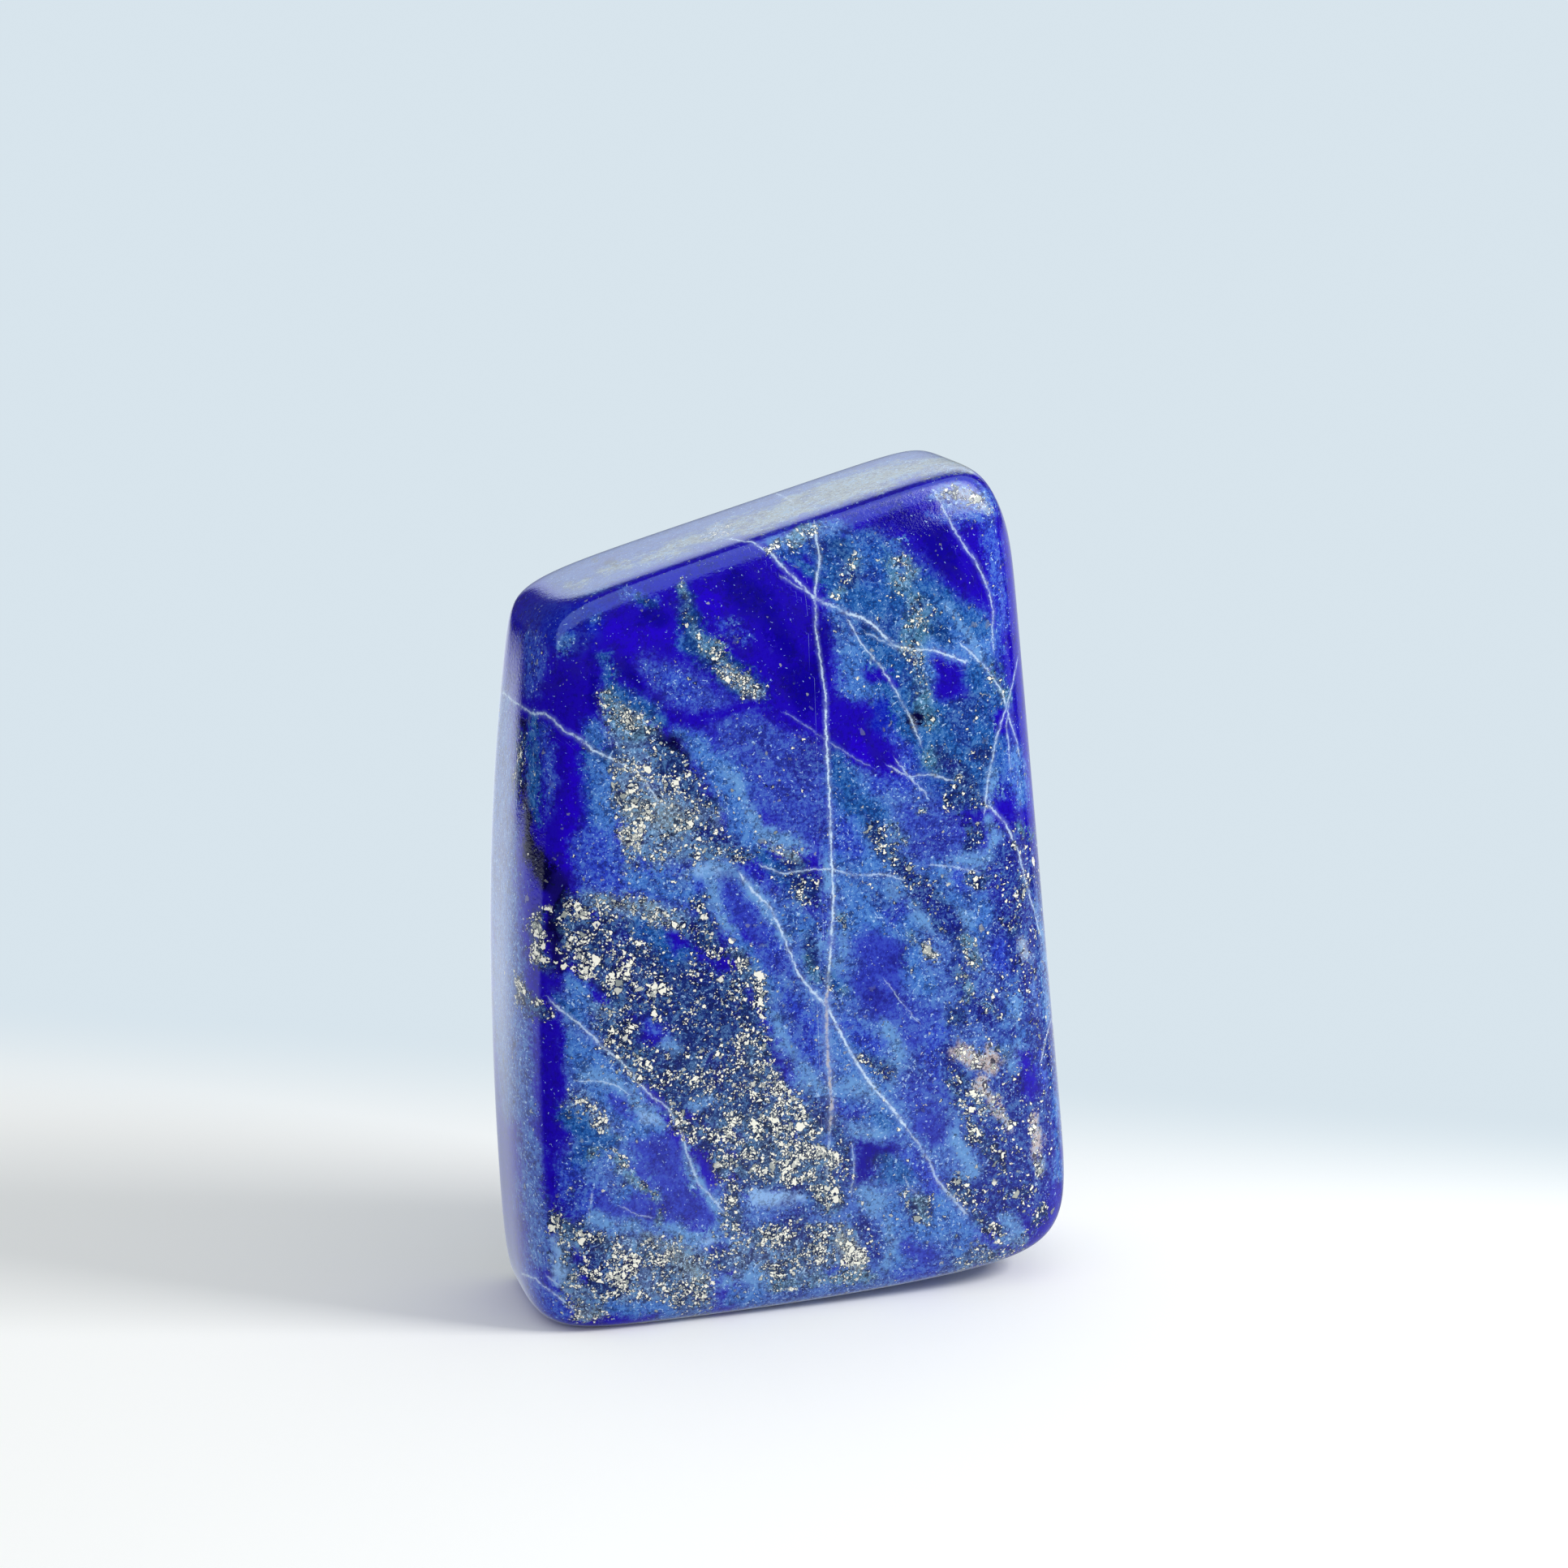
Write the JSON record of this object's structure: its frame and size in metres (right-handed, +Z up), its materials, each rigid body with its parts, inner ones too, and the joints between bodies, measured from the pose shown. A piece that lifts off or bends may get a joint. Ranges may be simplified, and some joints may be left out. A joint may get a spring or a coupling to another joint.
{
  "type": "lapis lazuli freeform",
  "caption": "Polished lapis lazuli freeform: an upright slab-like stone with a sloping top and soft round shoulders, blue with gold pyrite flecks and pale veins.",
  "frame": {"origin": "middle of the stone's box, on the surface it stands on", "axes": "+Z up the stone, from the flat spot it stands on to the sloping top; -Y out of the wide show face; +X to the right as one looks at that face, towards the taller side"},
  "size_m": [0.0704, 0.028, 0.0997],
  "materials": {
    "polished_lapis": "ground and polished all over to a glassy shine, mottled ultramarine with pale calcite veins and pyrite flecks"
  },
  "bodies": {
    "root": {"lapis_stone": "polished_lapis"}
  },
  "joints": []
}
